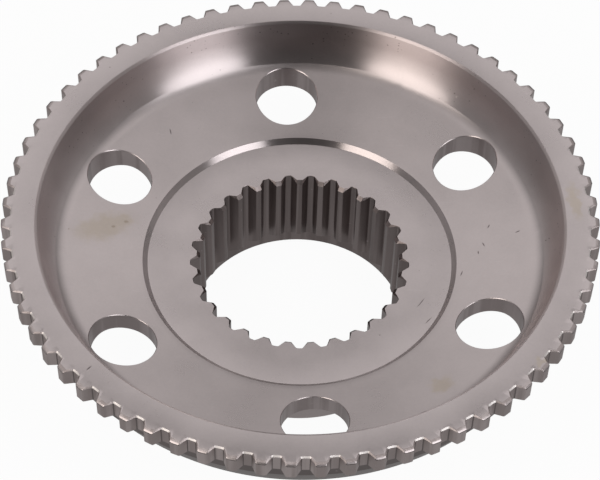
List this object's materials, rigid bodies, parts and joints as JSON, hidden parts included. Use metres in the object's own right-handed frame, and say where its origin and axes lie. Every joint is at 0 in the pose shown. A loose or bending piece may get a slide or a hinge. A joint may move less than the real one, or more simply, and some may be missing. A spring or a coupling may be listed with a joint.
{
  "type": "ring gear carrier hub",
  "caption": "Dished steel carrier hub with external teeth round its rim, a conical web with round holes, and an internally splined bore in a deep boss.",
  "frame": {"origin": "on the axis, in the plane of the foot of the hub boss", "axes": "+Z along the axis from the foot of the boss to the open dished side; +X and +Y in the plane of the rim"},
  "size_m": [0.207, 0.207, 0.0657],
  "materials": {
    "machined_steel": "turned and hobbed bare steel, lightly stained"
  },
  "bodies": {
    "root": {"ring_gear_hub": "machined_steel"}
  },
  "joints": []
}
